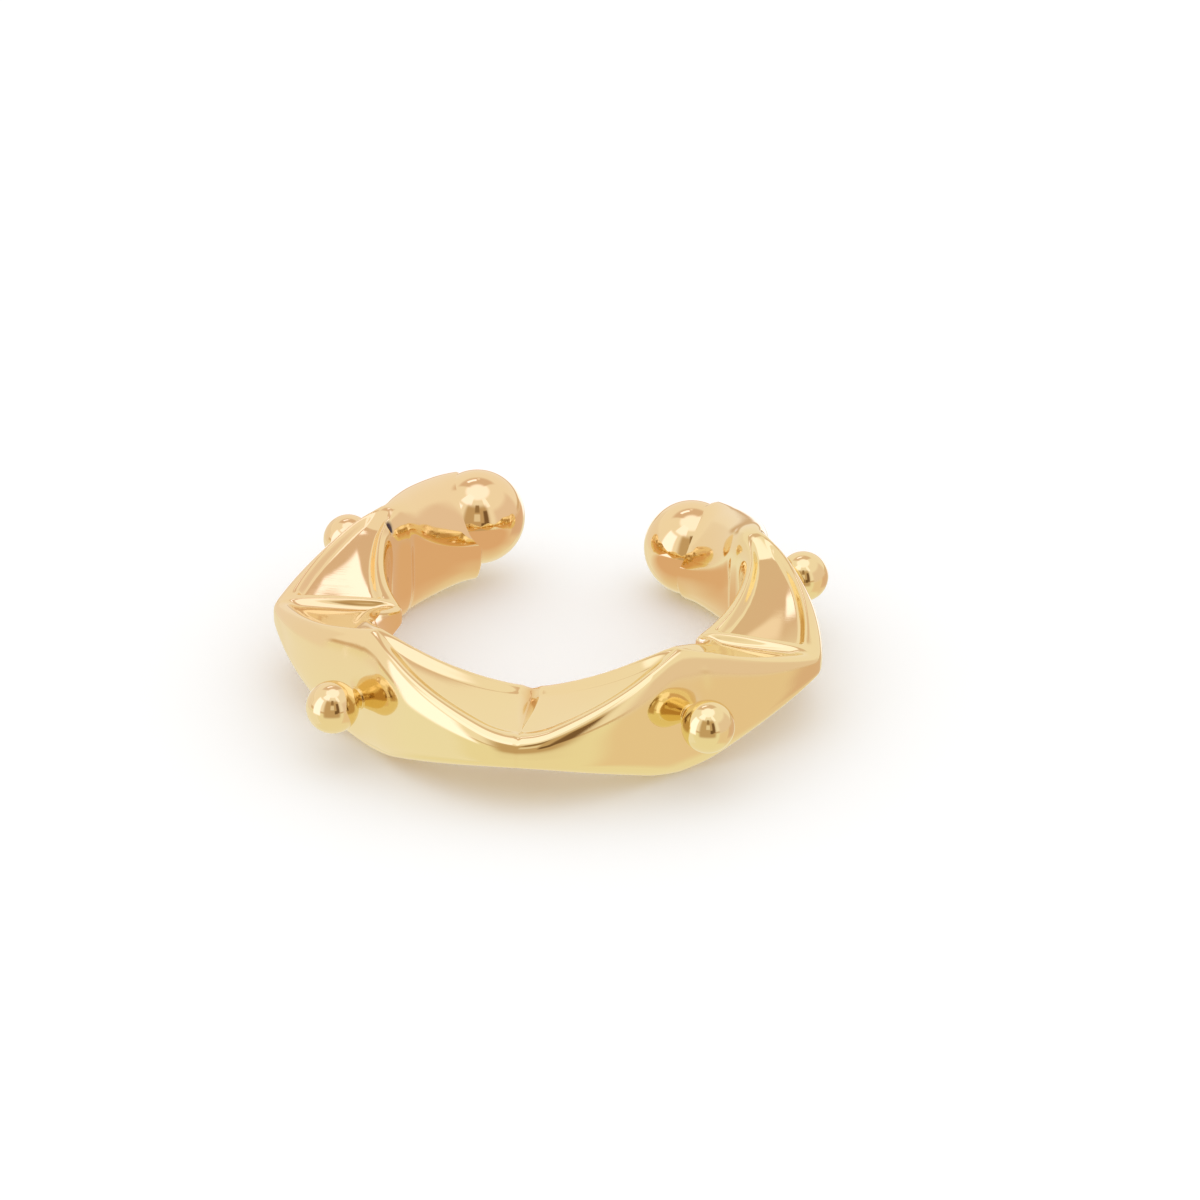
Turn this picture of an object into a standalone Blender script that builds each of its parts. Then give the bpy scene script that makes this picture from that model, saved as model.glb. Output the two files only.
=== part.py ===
"""Ear cuff: one polished casting, an open ring pinched in turn from above and from the sides.

Metres, +Z up. The ring lies on its side with its axis along Z and its gap towards +Y. Angles go round the ring
from the middle of the gap, positive towards -X. The origin is under the middle of the cuff's box.
"""
import math
from collections import namedtuple

import bmesh
import bpy
import numpy as np
from mathutils import Matrix, Vector

# Driving dimensions of the band: a saddle is a wide low place, a peak a narrow tall one
INNER_RADIUS = 0.00410
SADDLE_WIDTH = 0.00350
SADDLE_THICKNESS = 0.00098
PEAK_RADIUS = 0.00600
PEAK_THICKNESS = 0.00118
PEAK_HEIGHT = 0.00360
LINK_ANGLE = math.radians(40.6)

# Driving dimensions of the two arms and the balls that close them
END_ANGLE = math.radians(26.4)
ARM_THICKNESS = 0.00250
ARM_HEIGHT = 0.00275
ARM_SHORTFALL = math.radians(3)
END_BALL_DIAMETER = 0.00270
END_BALL_RADIUS = 0.00690
END_LEVEL = 0.00166
END_STAGGER = 0.00026
ARM_LEAN = 0.24

# Driving dimensions of the bead studs
BEAD_DIAMETER = 0.00140
NECK_DIAMETER = 0.00046
NECK_LENGTH = 0.00004
NECK_ROOT = 0.00040
SEAT_RISE = 0.00016
SEAT_SPREAD = 0.00055

# How the links between the stations differ from a straight blend of their ends
OUTER_KEENNESS = 0.55
LINK_SQUARENESS = 0.6
LINK_SLIMNESS = 0.04

# Surface relief. A pan is the recess in the top of a heel's link, a leaf the shallower one of a peak's link.
# Shares are of a link, from its saddle to its peak.
PAN_DEPTH = 0.00026
PAN_RIM = 0.00024
PAN_RIM_AT_BASE = 0.00022
PAN_WALL = 0.00026
PAN_BOWL = 0.00012
PAN_BASE = 0.00012
PAN_FADE_SHARE = 0.80
LEAF_DEPTH = 0.00014
LEAF_WALL = 0.00050
STEP_DEPTH = 0.00013
STEP_WALL = 0.00012
STEP_REACH = 0.00110
VALLEY_DEPTH = 0.00024
VALLEY_WIDTH = 0.00034
VALLEY_OUTER_SHARE = 0.2
VALLEY_BLEND = 0.7
FACE_HOLLOW = 0.00003
FACE_START_SHARE = 0.5
RIM_SHARPNESS = 4
PIT_DIAMETER = 0.00022
PIT_DEPTH = 0.00012
FOOT_DEPTH = 0.00004

# Mesh fineness
STEPS_PER_LINK = 12
POINTS_AROUND = 40
CROWDING = 0.6
BALL_SEGMENTS = 24
BEAD_SEGMENTS = 16
BEAD_STEPS = 9
PIT_SEGMENTS = 8
DOME_CLIMBS = (math.radians(35), math.radians(65))
SHARP_ANGLE = math.radians(40)

SADDLE_RADIUS = INNER_RADIUS + SADDLE_WIDTH / 2
MIDDLE_LEVEL = PEAK_HEIGHT / 2
DOME_REACH = END_BALL_DIAMETER / 5

# One row for each kind of station: middle radius, thickness across, height and squareness of the section,
# and the share of a link that its ridges take to turn
KINDS = {
    "saddle": (SADDLE_RADIUS, SADDLE_WIDTH, SADDLE_THICKNESS, 3.6, 0.18),
    "ledge": (SADDLE_RADIUS, SADDLE_WIDTH, SADDLE_THICKNESS, 3.6, 0.07),
    "peak": (PEAK_RADIUS, PEAK_THICKNESS, PEAK_HEIGHT, 2.5, 0.28),
    "heel": (PEAK_RADIUS, PEAK_THICKNESS, PEAK_HEIGHT, 2.6, 0.28),
    "end": (END_BALL_RADIUS, ARM_THICKNESS, ARM_HEIGHT, 2.2, 0.20),
}
TALL_KINDS = ("peak", "heel")

# One row for each station from the left end round to the right one: name, kind, side, links from the front,
# width, height and level as shares of the kind's own, and how far its bead stands above the middle of its face,
# as a share of the peaks' height. A ledge is a saddle that a pan's raised base crosses. The casting is a little
# uneven, and so are the links.
STATIONS = [
    ("left_end", "end", 1, None, 1.00, 1.04, 0.88, 0),
    ("left_heel", "heel", 1, 3.00, 1.06, 0.96, 0.96, 0.08),
    ("left_saddle", "ledge", 1, 2.10, 1.00, 1.00, 1.03, 0),
    ("left_peak", "peak", 1, 1.04, 1.00, 0.97, 0.97, -0.02),
    ("front_saddle", "saddle", -1, 0.03, 1.00, 1.12, 0.93, 0),
    ("right_peak", "peak", -1, 1.01, 1.00, 1.00, 1.00, 0.04),
    ("right_saddle", "ledge", -1, 1.92, 1.00, 1.00, 1.03, 0),
    ("right_heel", "heel", -1, 2.97, 1.06, 0.96, 0.96, 0.04),
    ("right_end", "end", -1, None, 1.00, 0.96, 1.00, 0),
]

Station = namedtuple("Station", "angle radius half_width half_height level squareness turn lift kind")

# Pits: name, its station, its share of the link that follows, and its degrees round the section from the outer side
PITS = [("left_pit", "left_heel", 0.12, 130), ("right_pit", "right_heel", 0.05, 62)]


def station_angle(kind, side, links):
    """Angle round the ring from the middle of the gap, positive towards -X."""
    if kind == "end":
        return side * (END_ANGLE + ARM_SHORTFALL) % (2 * math.pi)
    return math.pi - side * links * LINK_ANGLE


def end_level(side):
    """Level of an end ball's middle: the left one stands a little higher than the right one."""
    return END_LEVEL + side * END_STAGGER


def stations():
    """Each station's sizes, by its name."""
    rows = {}
    for name, kind, side, links, width, height, level, lift in STATIONS:
        radius, across, tall, squareness, turn = KINDS[kind]
        middle = end_level(side) if kind == "end" else MIDDLE_LEVEL
        rows[name] = Station(station_angle(kind, side, links), radius, across * width / 2, tall * height / 2,
                             middle * level, squareness, turn, lift * PEAK_HEIGHT, kind)
    return rows


def ease(share, start, stop):
    """Share of the way from one station to the next: level over each turn, straight between them."""
    slope = 1 / (1 - start / 2 - stop / 2)
    if share < start:
        return slope * share * share / (2 * start)
    if share > 1 - stop:
        return 1 - slope * (1 - share) ** 2 / (2 * stop)
    return slope * (share - start / 2)


def smooth(share):
    """0 up to 0, 1 from 1 on, and a smooth step between them."""
    share = min(1.0, max(0.0, share))
    return share * share * (3 - 2 * share)


def rise(share, start):
    """0 up to start, then smoothly up to 1 at a share of 1."""
    return math.sin(math.pi / 2 * max(0.0, share - start) / (1 - start)) ** 2


def power(value, exponent):
    """Power of the size, with the sign kept."""
    return math.copysign(abs(value) ** exponent, value)


def rounded_rectangle(squareness, turn):
    """Across and up, each from -1 to 1, at an angle round the section."""
    cosine, sine = math.cos(turn), math.sin(turn)
    spread = (abs(cosine) ** squareness + abs(sine) ** squareness) ** (1 / squareness)
    return cosine / spread, sine / spread


def sunk(kinds, to_peak, from_base, from_side, across):
    """How deep the top lies under the plain section.

    to_peak is the share of the link from its saddle, from_base the length from there, from_side the length from
    the nearer side of the band and across the place from the inner side, -1, to the outer one, 1.
    """
    if "end" in kinds:
        return 0.0
    heel, ledge = "heel" in kinds, "ledge" in kinds
    rim = PAN_RIM + (PAN_RIM_AT_BASE * (1 - to_peak) ** 2 if heel else 0)
    in_side = smooth((from_side - rim) / (PAN_WALL if heel else LEAF_WALL))
    fade = 1 - smooth((to_peak - PAN_FADE_SHARE) / (1 - PAN_FADE_SHARE))
    bowl = PAN_BOWL * (1 - across * across) * 4 * to_peak * (1 - to_peak)
    pan = in_side * ((PAN_DEPTH if heel else LEAF_DEPTH) * fade + bowl)
    inward = VALLEY_OUTER_SHARE + (1 - VALLEY_OUTER_SHARE) * smooth((VALLEY_BLEND - across) / (2 * VALLEY_BLEND))
    if not ledge:
        return pan + VALLEY_DEPTH * inward * max(0.0, 1 - from_base / (VALLEY_WIDTH * inward))
    pan *= smooth((from_base - (PAN_BASE if heel else 0)) / PAN_WALL)
    if heel:
        return pan
    return pan + STEP_DEPTH * inward * smooth(from_base / STEP_WALL) * (1 - smooth(from_base / STEP_REACH))


def section(row, next_row, share, turn):
    """A point of the band's surface, at a share of a link and an angle round its section."""
    kinds = (row.kind, next_row.kind)
    tall = [kind in TALL_KINDS for kind in kinds]
    amount = ease(share, row.turn, next_row.turn)
    keen = ease(share, row.turn * (1 - OUTER_KEENNESS * tall[0]), next_row.turn * (1 - OUTER_KEENNESS * tall[1]))

    def mixed(value, next_value, part=amount):
        return value + (next_value - value) * part

    outside = mixed(row.radius + row.half_width, next_row.radius + next_row.half_width, keen)
    inside = mixed(row.radius - row.half_width, next_row.radius - next_row.half_width)
    midway = 0 if "end" in kinds else 4 * share * (1 - share)
    slim = 1 - LINK_SLIMNESS * midway
    radius, half_width = (outside + inside) / 2, (outside - inside) / 2 * slim
    half_height = mixed(row.half_height, next_row.half_height) * slim
    squareness = mixed(row.squareness, next_row.squareness) + LINK_SQUARENESS * midway
    across, up = rounded_rectangle(squareness, turn)

    to_peak = 1 - share if tall[0] else share
    link_length = abs(next_row.angle - row.angle) * radius
    depth = sunk(kinds, to_peak, to_peak * link_length, half_width * (1 - abs(across)), across)
    height = up * half_height - power(up, RIM_SHARPNESS) * depth
    hollow = FACE_HOLLOW * rise(to_peak, FACE_START_SHARE) * (1 - up * up) ** 2
    off_bead = math.hypot((1 - to_peak) * link_length, height - row.lift - next_row.lift)
    seat = SEAT_RISE * max(0.0, across) ** 2 / (1 + (off_bead / SEAT_SPREAD) ** 2) ** 2
    lean = ARM_LEAN * mixed(row.kind == "end", next_row.kind == "end")
    reach = across * half_width - power(across, RIM_SHARPNESS) * hollow + seat + lean * height
    angle = row.angle + (next_row.angle - row.angle) * share
    return angle, radius + reach, mixed(row.level, next_row.level) + height


def on_ring(angle, radius, level):
    """Place in space of a radius and a level at an angle round the ring."""
    return Vector((-math.sin(angle) * radius, math.cos(angle) * radius, level))


def band_rings():
    """Rings of points along the band, from the left end to the right one."""
    rows = list(stations().values())
    turns = [2 * math.pi * k / POINTS_AROUND for k in range(POINTS_AROUND)]
    rings = []
    for row, next_row in zip(rows, rows[1:]):
        last = next_row is rows[-1]
        for step in range(STEPS_PER_LINK + (1 if last else 0)):
            even = step / STEPS_PER_LINK
            share = even - CROWDING * math.sin(2 * math.pi * even) / (2 * math.pi)
            rings.append([on_ring(*section(row, next_row, share, turn)) for turn in turns])
    return rings


def domed(ring, inner_ring):
    """Rings that round off an end, reaching on from its last ring."""
    middle = sum(ring, Vector()) / len(ring)
    onward = (middle - sum(inner_ring, Vector()) / len(inner_ring)).normalized() * DOME_REACH
    return [[middle + (p - middle) * math.cos(climb) + onward * math.sin(climb) for p in ring]
            for climb in DOME_CLIMBS]


def mesh_object(name, bm):
    """A linked object that holds the bmesh's faces, shaded smooth."""
    mesh = bpy.data.meshes.new(name)
    bm.to_mesh(mesh)
    bm.free()
    obj = bpy.data.objects.new(name, mesh)
    bpy.context.scene.collection.objects.link(obj)
    return obj


def make_band():
    """The band as one closed skin over its rings."""
    rings = band_rings()
    rings = domed(rings[0], rings[1])[::-1] + rings + domed(rings[-1], rings[-2])
    bm = bmesh.new()
    loops = [[bm.verts.new(p) for p in ring] for ring in rings]
    for loop, next_loop in zip(loops, loops[1:]):
        for k in range(POINTS_AROUND):
            m = (k + 1) % POINTS_AROUND
            bm.faces.new((loop[k], loop[m], next_loop[m], next_loop[k]))
    bm.faces.new(loops[0][::-1])
    bm.faces.new(loops[-1])
    bmesh.ops.recalc_face_normals(bm, faces=bm.faces)
    return mesh_object("cuff", bm)


def make_ball(name, diameter, segments, place):
    """A round ball."""
    bm = bmesh.new()
    bmesh.ops.create_uvsphere(bm, u_segments=segments, v_segments=segments // 2, radius=diameter / 2,
                              matrix=Matrix.Translation(place))
    return mesh_object(name, bm)


def make_rod(name, diameter, segments, start, stop):
    """A round rod between two places."""
    bm = bmesh.new()
    along = stop - start
    turned = along.to_track_quat("Z", "Y").to_matrix().to_4x4()
    bmesh.ops.create_cone(bm, cap_ends=True, segments=segments, radius1=diameter / 2, radius2=diameter / 2,
                          depth=along.length, matrix=Matrix.Translation((start + stop) / 2) @ turned)
    return mesh_object(name, bm)


def make_stud(name, face, outward):
    """A neck and its bead, turned in one piece about the line that leaves the face squarely."""
    neck_radius, bead_radius = NECK_DIAMETER / 2, BEAD_DIAMETER / 2
    centre = NECK_LENGTH + bead_radius
    base = math.asin(neck_radius / bead_radius)
    turned = outward.to_track_quat("Z", "Y").to_matrix().to_4x4()
    place = Matrix.Translation(face) @ turned
    profile = [(-NECK_ROOT, neck_radius)]
    for step in range(BEAD_STEPS):
        turn = base + (math.pi - base) * step / BEAD_STEPS
        profile.append((centre - math.cos(turn) * bead_radius, math.sin(turn) * bead_radius))
    bm = bmesh.new()
    loops = []
    for along, radius in profile:
        loops.append([bm.verts.new(place @ Vector((radius * math.cos(turn), radius * math.sin(turn), along)))
                      for turn in (math.pi * (2 * k + 1) / BEAD_SEGMENTS for k in range(BEAD_SEGMENTS))])
    tip = bm.verts.new(place @ Vector((0, 0, centre + bead_radius)))
    for loop, next_loop in zip(loops, loops[1:]):
        for k in range(BEAD_SEGMENTS):
            m = (k + 1) % BEAD_SEGMENTS
            bm.faces.new((loop[k], loop[m], next_loop[m], next_loop[k]))
    for k in range(BEAD_SEGMENTS):
        bm.faces.new((loops[-1][k], loops[-1][(k + 1) % BEAD_SEGMENTS], tip))
    bm.faces.new(loops[0][::-1])
    bmesh.ops.recalc_face_normals(bm, faces=bm.faces)
    return mesh_object(name, bm)


def combine(body, tools, operation):
    """Join the tools to the body, or cut them out of it, and remove them."""
    for tool in tools:
        step = body.modifiers.new(tool.name, "BOOLEAN")
        step.operation = operation
        step.solver = "EXACT"
        step.object = tool
    depsgraph = bpy.context.evaluated_depsgraph_get()
    mesh = bpy.data.meshes.new_from_object(body.evaluated_get(depsgraph))
    body.modifiers.clear()
    body.data = mesh
    for tool in tools:
        bpy.data.objects.remove(tool)


def end_balls():
    """The ball that closes each arm."""
    return [make_ball(name, END_BALL_DIAMETER, BALL_SEGMENTS,
                      on_ring(side * END_ANGLE, END_BALL_RADIUS, end_level(side)))
            for name, side in (("left_ball", 1), ("right_ball", -1))]


def bead_studs():
    """A bead on a short neck on the outer side of each peak."""
    studs = []
    for name, row in stations().items():
        if row.kind in TALL_KINDS:
            face = on_ring(row.angle, row.radius + row.half_width - FACE_HOLLOW + SEAT_RISE, row.level + row.lift)
            studs.append(make_stud(name + "_stud", face, on_ring(row.angle, 1, 0)))
    return studs


def pit_cutters():
    """A short pin that cuts each tiny pit square to the metal's surface."""
    rows = stations()
    order = list(rows)
    tools = []
    for name, station, share, degrees in PITS:
        row, next_row = rows[station], rows[order[order.index(station) + 1]]
        angle, radius, level = section(row, next_row, share, math.radians(degrees))
        spot = on_ring(angle, radius, level)
        middle = on_ring(angle, row.radius, level - row.half_height / 2)
        out = (spot - middle).normalized()
        tools.append(make_rod(name, PIT_DIAMETER, PIT_SEGMENTS, spot - out * PIT_DEPTH, spot + out * PIT_DEPTH))
    return tools


def flatten_feet(body):
    """Cut a small flat under each peak, so that the cuff stands on four of them."""
    bm = bmesh.new()
    bm.from_mesh(body.data)
    floor = min(v.co.z for v in bm.verts) + FOOT_DEPTH
    everything = bm.verts[:] + bm.edges[:] + bm.faces[:]
    cut = bmesh.ops.bisect_plane(bm, geom=everything, dist=1e-9, plane_co=(0, 0, floor), plane_no=(0, 0, -1),
                                 clear_outer=True)
    edges = [item for item in cut["geom_cut"] if isinstance(item, bmesh.types.BMEdge)]
    bmesh.ops.holes_fill(bm, edges=edges)
    bmesh.ops.recalc_face_normals(bm, faces=bm.faces)
    bm.to_mesh(body.data)
    bm.free()


def stand_on_origin(body):
    """Move the mesh so that the origin lies under the middle of its box."""
    points = np.array([v.co for v in body.data.vertices])
    low, high = points.min(axis=0), points.max(axis=0)
    body.data.transform(Matrix.Translation((-(low[0] + high[0]) / 2, -(low[1] + high[1]) / 2, -low[2])))


def polished_gold():
    """Mirror-polished gold plate."""
    material = bpy.data.materials.new("polished_gold")
    material.use_nodes = True
    shader = material.node_tree.nodes["Principled BSDF"]
    shader.inputs["Base Color"].default_value = (0.87, 0.66, 0.30, 1.0)
    shader.inputs["Metallic"].default_value = 1.0
    shader.inputs["Roughness"].default_value = 0.12
    return material


def main():
    for obj in list(bpy.data.objects):
        bpy.data.objects.remove(obj)
    cuff = make_band()
    combine(cuff, end_balls() + bead_studs(), "UNION")
    flatten_feet(cuff)
    combine(cuff, pit_cutters(), "DIFFERENCE")
    stand_on_origin(cuff)
    cuff.data.materials.clear()
    cuff.data.materials.append(polished_gold())
    cuff.data.shade_smooth()
    cuff.data.set_sharp_from_angle(angle=SHARP_ANGLE)


main()
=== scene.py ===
"""Dressed model of an open ear cuff, one polished gold casting that lies on its side.

The band is one skin that a rule draws: its section goes from a wide low saddle to a narrow tall peak and
back, and its ridges, pans and creases follow from that. Beads on short necks stand on the peaks, and a ball
closes each arm.

Metres, +Z up. The ring is drawn round its own axis, with its gap towards +Y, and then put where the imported
model is. Angles go round the ring from the middle of the gap, positive towards -X.
"""

import logging
import math
from collections.abc import Iterable
from dataclasses import asdict, dataclass, fields
from enum import Enum
from functools import reduce
from types import SimpleNamespace

import bmesh
import bpy
import numpy as np
from mathutils import Matrix, Vector

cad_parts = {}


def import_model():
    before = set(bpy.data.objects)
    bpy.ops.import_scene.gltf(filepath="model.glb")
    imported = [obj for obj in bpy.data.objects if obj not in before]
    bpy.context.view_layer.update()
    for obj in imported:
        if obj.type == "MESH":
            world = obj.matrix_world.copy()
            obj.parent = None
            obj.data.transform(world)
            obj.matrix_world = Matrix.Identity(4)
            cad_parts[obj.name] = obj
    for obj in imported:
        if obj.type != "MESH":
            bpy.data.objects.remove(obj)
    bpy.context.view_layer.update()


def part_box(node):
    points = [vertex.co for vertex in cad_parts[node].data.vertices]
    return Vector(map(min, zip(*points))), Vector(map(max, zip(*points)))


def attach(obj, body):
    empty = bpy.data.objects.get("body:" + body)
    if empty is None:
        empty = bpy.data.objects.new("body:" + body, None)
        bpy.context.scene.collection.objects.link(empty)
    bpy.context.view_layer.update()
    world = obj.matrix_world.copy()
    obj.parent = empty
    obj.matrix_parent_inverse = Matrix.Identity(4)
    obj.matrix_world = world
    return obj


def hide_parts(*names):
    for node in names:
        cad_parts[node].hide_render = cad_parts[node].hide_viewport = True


CAD_NODE = "cuff"
BODY = "root"

# Points nearer than this are one point, in metres
WELD_REACH = 1e-7
# Keeps the band's last point in its last link, in links
LAST_LINK_MARGIN = 1e-4
# How the two sets of buffing lines lie, in radians
LINE_TURNS = (0.4, 1.9)

log = logging.getLogger("ear_cuff")


# Node graphs


@dataclass(frozen=True)
class Field:
    """A number that varies over a shape, held as a socket of a node graph."""

    graph: "Graph"
    socket: bpy.types.NodeSocket

    def __add__(self, other: "Field | float") -> "Field":
        """Sum."""
        return self.graph.math("ADD", self, other)

    def __sub__(self, other: "Field | float") -> "Field":
        """Difference."""
        return self.graph.math("SUBTRACT", self, other)

    def __rsub__(self, other: float) -> "Field":
        """Difference from a plain number."""
        return self.graph.math("SUBTRACT", other, self)

    def __mul__(self, other: "Field | float") -> "Field":
        """Product."""
        return self.graph.math("MULTIPLY", self, other)

    def __truediv__(self, other: "Field | float") -> "Field":
        """Quotient."""
        return self.graph.math("DIVIDE", self, other)

    def __rtruediv__(self, other: float) -> "Field":
        """Quotient of a plain number."""
        return self.graph.math("DIVIDE", other, self)

    def __pow__(self, other: "Field | float") -> "Field":
        """Power, for a field that is never negative."""
        return self.graph.math("POWER", self, other)

    def __neg__(self) -> "Field":
        """Negative."""
        return self.graph.math("SUBTRACT", 0.0, self)

    __radd__ = __add__
    __rmul__ = __mul__

    def sin(self) -> "Field":
        """Sine of an angle in radians."""
        return self.graph.math("SINE", self)

    def cos(self) -> "Field":
        """Cosine of an angle in radians."""
        return self.graph.math("COSINE", self)

    def floor(self) -> "Field":
        """Whole part."""
        return self.graph.math("FLOOR", self)

    def at_least(self, low: "Field | float") -> "Field":
        """The larger of this and low."""
        return self.graph.math("MAXIMUM", self, low)

    def at_most(self, high: "Field | float") -> "Field":
        """The smaller of this and high."""
        return self.graph.math("MINIMUM", self, high)

    def below(self, limit: "Field | float") -> "Field":
        """1 where this is below the limit, and 0 elsewhere."""
        return self.graph.math("LESS_THAN", self, limit)

    def mixed(self, other: "Field | float", amount: "Field | float") -> "Field":
        """This where amount is 0 and other where it is 1."""
        return self + (other - self) * amount

    def size(self) -> "Field":
        """Value without its sign."""
        return self.graph.math("ABSOLUTE", self)

    def signed_power(self, exponent: "Field | float") -> "Field":
        """Power of the size, with the sign kept."""
        return self.graph.math("SIGN", self) * self.size() ** exponent

    def smoothed(self) -> "Field":
        """0 up to 0, 1 from 1 on, and a smooth step between them."""
        share = self.at_least(0.0).at_most(1.0)
        return share * share * (3 - 2 * share)


def socket_type(value: object) -> str:
    """Type of the tree input that holds such a value.

    Args:
        value: a number, a vector, a colour, or None for geometry.

    Returns:
        The socket's Blender type.
    """
    if isinstance(value, tuple):
        return "NodeSocketColor" if len(value) == 4 else "NodeSocketVector"
    return {type(None): "NodeSocketGeometry", int: "NodeSocketInt", float: "NodeSocketFloat"}[type(value)]


def tree_inputs(sizes: object) -> dict[str, object]:
    """The fields of a dataclass as the named inputs of a tree: pan_depth becomes Pan Depth."""
    return {field.name.replace("_", " ").title(): getattr(sizes, field.name) for field in fields(sizes)}


class Graph:
    """A node tree that is being built, with short calls for the nodes that it needs."""

    def __init__(self, tree: bpy.types.NodeTree) -> None:
        """Keep the tree.

        Args:
            tree: a geometry tree, a shader group or a material's own tree.
        """
        self.tree = tree
        self.given = SimpleNamespace()

    @classmethod
    def with_inputs(cls, kind: str, name: str, inputs: dict[str, object]) -> "Graph":
        """A new tree that has named inputs.

        Args:
            kind: the tree's Blender type.
            name: the tree's name.
            inputs: the default value of each input, by name, with None for geometry.

        Returns:
            The graph. Its given holds a field for each input: Pan Depth is given.pan_depth.
        """
        graph = cls(bpy.data.node_groups.new(name, kind))
        for label, value in inputs.items():
            item = graph.tree.interface.new_socket(label, in_out="INPUT", socket_type=socket_type(value))
            if value is not None:
                item.default_value = value
        entry = graph.node("NodeGroupInput")
        for label in inputs:
            setattr(graph.given, label.lower().replace(" ", "_"), Field(graph, entry.outputs[label]))
        return graph

    def node(self, kind: str, **settings: object) -> bpy.types.Node:
        """A new node.

        Args:
            kind: the node's Blender type.
            settings: its settings, by name.

        Returns:
            The node.
        """
        node = self.tree.nodes.new(kind)
        for name, value in settings.items():
            setattr(node, name, value)
        return node

    def feed(self, socket: bpy.types.NodeSocket, value: object) -> None:
        """Give an input socket its value.

        Args:
            socket: the input socket.
            value: a field or a socket to link to it, or a plain value to set on it.
        """
        if isinstance(value, Field):
            value = value.socket
        if isinstance(value, bpy.types.NodeSocket):
            self.tree.links.new(value, socket)
        else:
            socket.default_value = value

    def call(self, kind: str, sockets: dict[str, object], **settings: object) -> bpy.types.Node:
        """A new node with values on its input sockets.

        Args:
            kind: the node's Blender type.
            sockets: the value of each input socket, by name.
            settings: the node's settings, by name.

        Returns:
            The node.
        """
        node = self.node(kind, **settings)
        for name, value in sockets.items():
            self.feed(node.inputs[name], value)
        return node

    def math(self, operation: str, *values: object) -> Field:
        """Result of a math node.

        Args:
            operation: what the node does.
            values: the fields or numbers that it does it to.

        Returns:
            The result.
        """
        node = self.node("ShaderNodeMath", operation=operation)
        for socket, value in zip(node.inputs, values):
            self.feed(socket, value)
        return Field(self, node.outputs[0])

    def vector(self, x: object, y: object, z: object) -> bpy.types.NodeSocket:
        """A vector of three fields or numbers."""
        return self.call("ShaderNodeCombineXYZ", {"X": x, "Y": y, "Z": z}).outputs[0]

    def parts(self, vector: object) -> tuple[Field, Field, Field]:
        """X, Y and Z of a vector."""
        split = self.call("ShaderNodeSeparateXYZ", {"Vector": vector})
        return tuple(Field(self, socket) for socket in split.outputs)

    def position(self) -> tuple[Field, Field, Field]:
        """X, Y and Z of each point, in a geometry tree."""
        return self.parts(self.node("GeometryNodeInputPosition").outputs[0])

    def attribute(self, name: str) -> Field:
        """A number that the mesh keeps, in a shader tree."""
        return Field(self, self.node("ShaderNodeAttribute", attribute_name=name).outputs["Fac"])

    def noise(self, **sockets: object) -> Field:
        """Cloudy noise round one half, with these values on its sockets."""
        named = {name.capitalize(): value for name, value in sockets.items()}
        return Field(self, self.call("ShaderNodeTexNoise", named).outputs[0])

    def colour_mix(self, first: object, second: object, amount: object) -> bpy.types.NodeSocket:
        """A mix of two colours.

        Args:
            first: the colour where amount is 0.
            second: the colour where amount is 1.
            amount: the share of the second colour.

        Returns:
            The mixed colour.
        """
        mix = self.call("ShaderNodeMix", {"Factor": amount}, data_type="RGBA")
        low, high = [socket for socket in mix.inputs if socket.type == "RGBA"]
        self.feed(low, first)
        self.feed(high, second)
        return next(socket for socket in mix.outputs if socket.type == "RGBA")

    def give(self, name: str, kind: str, value: object) -> None:
        """Give a group one more output.

        Args:
            name: the output's name.
            kind: its socket type.
            value: what it gives.
        """
        self.tree.interface.new_socket(name, in_out="OUTPUT", socket_type=kind)
        ends = [node for node in self.tree.nodes if node.bl_idname == "NodeGroupOutput"]
        end = ends[0] if ends else self.node("NodeGroupOutput")
        self.feed(end.inputs[name], value)

    def sheet(self, length: object, lines: object, around: Field) -> bpy.types.NodeSocket:
        """A flat grid to roll up: x runs along it, and y once round, from -pi to pi.

        Args:
            length: its length along x.
            lines: how many lines of points it has along x.
            around: how many points go once round.

        Returns:
            The grid.
        """
        sockets = {"Size X": length, "Size Y": 2 * math.pi, "Vertices X": lines, "Vertices Y": around + 1}
        return self.call("GeometryNodeMeshGrid", sockets).outputs[0]

    def kept(self, geometry: bpy.types.NodeSocket, name: str, value: Field) -> bpy.types.NodeSocket:
        """The geometry with a field kept on its points as a named attribute."""
        sockets = {"Geometry": geometry, "Name": name, "Value": value}
        return self.call("GeometryNodeStoreNamedAttribute", sockets).outputs[0]

    def rolled(self, sheet: bpy.types.NodeSocket, place: bpy.types.NodeSocket) -> bpy.types.NodeSocket:
        """The sheet with its points at their new places, and its seam and its ends welded.

        Args:
            sheet: the flat grid.
            place: where each point goes.

        Returns:
            The closed shape.
        """
        moved = self.call("GeometryNodeSetPosition", {"Geometry": sheet, "Position": place})
        weld = {"Geometry": moved.outputs[0], "Distance": WELD_REACH}
        return self.call("GeometryNodeMergeByDistance", weld).outputs[0]

    def rippled(self, geometry: bpy.types.NodeSocket, depth: Field, scale: Field) -> bpy.types.NodeSocket:
        """The geometry with its skin waved a little in and out, as hand polishing leaves it.

        Args:
            geometry: the skin.
            depth: how far the waves go, in metres.
            scale: how close together they are.

        Returns:
            The waved skin.
        """
        wave = (self.noise(scale=scale, detail=1.0, roughness=0.4) - 0.5) * 2 * depth
        out = self.node("ShaderNodeVectorMath", operation="SCALE")
        self.feed(out.inputs[0], self.node("GeometryNodeInputNormal").outputs[0])
        self.feed(out.inputs["Scale"], wave)
        waved = self.call("GeometryNodeSetPosition", {"Geometry": geometry, "Offset": out.outputs[0]})
        return waved.outputs[0]

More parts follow.
